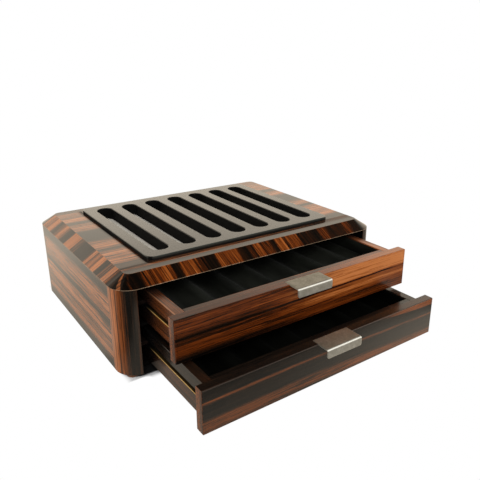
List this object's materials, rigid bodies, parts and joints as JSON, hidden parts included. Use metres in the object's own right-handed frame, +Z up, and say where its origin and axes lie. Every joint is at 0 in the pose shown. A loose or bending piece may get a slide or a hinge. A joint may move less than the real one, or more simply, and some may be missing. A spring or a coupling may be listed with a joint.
{
  "type": "pen collector chest",
  "caption": "Low veneered wooden chest for collector pens, with a slotted black tray on top and two velvet-lined drawers that slide out on side runners, each with a bent metal tab pull.",
  "frame": {"origin": "on the table, under the middle of the bounding box with both drawers out", "axes": "+X along the front to the right as seen from the front, +Y from the drawer fronts to the back, +Z up"},
  "size_m": [0.33, 0.3886, 0.1062],
  "materials": {
    "ebony_veneer": "macassar ebony veneer, clear gloss lacquer, grain front to back",
    "ebony_upright": "macassar ebony veneer, clear gloss lacquer, upright grain",
    "ebony_top": "macassar ebony veneer, clear gloss lacquer, cross-banded bevel",
    "black_lacquer": "black gloss lacquer on board",
    "pale_suede": "pale grey-beige suede over thin board",
    "dark_board": "dark stained board",
    "runner_wood": "dark stained hardwood",
    "polished_nickel": "polished",
    "brown_felt": "brown felt",
    "ebony_box": "macassar ebony, clear lacquer",
    "ebony_upper_front": "macassar ebony veneer, warm brown figure, clear gloss lacquer",
    "ebony_lower_front": "macassar ebony veneer, near-black figure, clear gloss lacquer",
    "brass": "satin",
    "black_velvet": "black velvet",
    "satin_nickel": "satin nickel"
  },
  "bodies": {
    "case": {"left_side_panel": "ebony_veneer", "right_side_panel": "ebony_veneer", "back_panel": "ebony_veneer", "bottom_panel": "dark_board", "dust_panel": "dark_board", "front_left_post": "ebony_upright", "front_right_post": "ebony_upright", "back_left_post": "ebony_upright", "back_right_post": "ebony_upright", "top_frame": "ebony_top", "tray_plate": "black_lacquer", "tray_floor": "pale_suede", "upper_left_runner": "runner_wood", "upper_right_runner": "runner_wood", "lower_left_runner": "runner_wood", "lower_right_runner": "runner_wood", "catch_upper_left": "polished_nickel", "catch_upper_right": "polished_nickel", "catch_lower_left": "polished_nickel", "catch_lower_right": "polished_nickel", "foot_front_left": "brown_felt", "foot_front_right": "brown_felt", "foot_back_left": "brown_felt", "foot_back_right": "brown_felt"},
    "upper_drawer": {"upper_drawer_front": "ebony_upper_front", "upper_drawer_inner_front": "ebony_box", "upper_drawer_back": "ebony_box", "upper_drawer_bottom": "dark_board", "upper_drawer_left_side": "ebony_box", "upper_drawer_left_strip": "brass", "upper_drawer_right_side": "ebony_box", "upper_drawer_right_strip": "brass", "upper_drawer_lining": "black_velvet", "upper_drawer_pen_pad": "black_velvet", "upper_drawer_pull": "satin_nickel"},
    "lower_drawer": {"lower_drawer_front": "ebony_lower_front", "lower_drawer_inner_front": "ebony_box", "lower_drawer_back": "ebony_box", "lower_drawer_bottom": "dark_board", "lower_drawer_left_side": "ebony_box", "lower_drawer_left_strip": "brass", "lower_drawer_right_side": "ebony_box", "lower_drawer_right_strip": "brass", "lower_drawer_lining": "black_velvet", "lower_drawer_pen_pad": "black_velvet", "lower_drawer_pull": "satin_nickel"}
  },
  "joints": [
    {"name": "upper_drawer_slide", "type": "slide", "parent": "case", "child": "upper_drawer", "axis": [0, -1, 0], "range_m": [-0.0679, 0.0921]},
    {"name": "lower_drawer_slide", "type": "slide", "parent": "case", "child": "lower_drawer", "axis": [0, -1, 0], "range_m": [-0.1114, 0.0486]}
  ]
}
